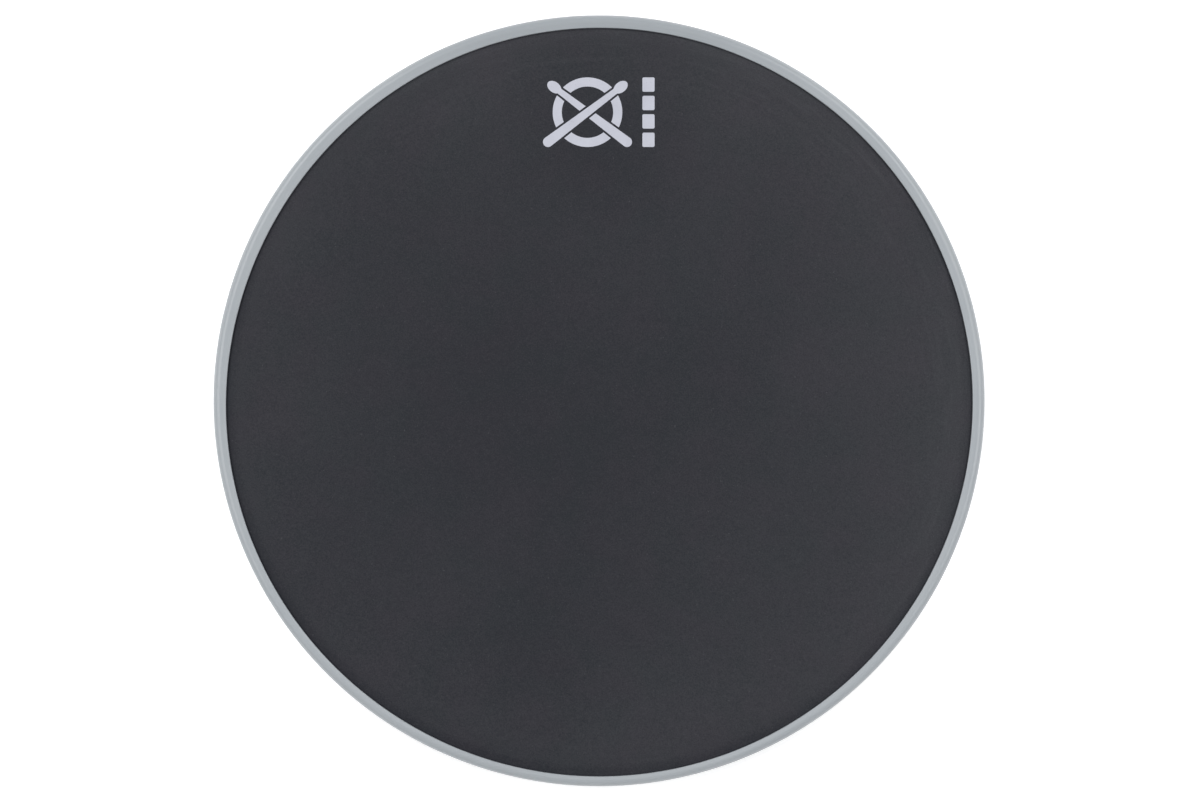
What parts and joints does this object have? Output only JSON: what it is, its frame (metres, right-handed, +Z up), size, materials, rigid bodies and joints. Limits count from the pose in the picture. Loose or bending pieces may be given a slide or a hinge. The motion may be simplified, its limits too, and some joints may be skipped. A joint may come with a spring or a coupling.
{
  "type": "drum practice pad",
  "caption": "Round laminated drum practice pad: black playing skin over foam and a heavy board, with a light grey moulded rubber edge ring and a non-slip rubber base.",
  "frame": {"origin": "centre of the flat underside that the pad rests on", "axes": "+Z up, out of the playing surface; +Y towards the printed mark; +X to the right with the mark at the far edge"},
  "size_m": [0.3048, 0.3048, 0.0286],
  "materials": {
    "skin": "matte",
    "mark_ink": "matte",
    "rim_rubber": "satin",
    "foam": "matte",
    "board": "matte",
    "grip_rubber": "matte",
    "glue_film": "satin"
  },
  "bodies": {
    "root": {"playing_skin": "skin", "surface_mark": "mark_ink", "rim_ring": "rim_rubber", "foam_cushion": "foam", "base_board": "board", "base_grip": "grip_rubber", "skin_glue_film": "glue_film", "foam_glue_film": "glue_film", "grip_glue_film": "glue_film"}
  },
  "joints": []
}
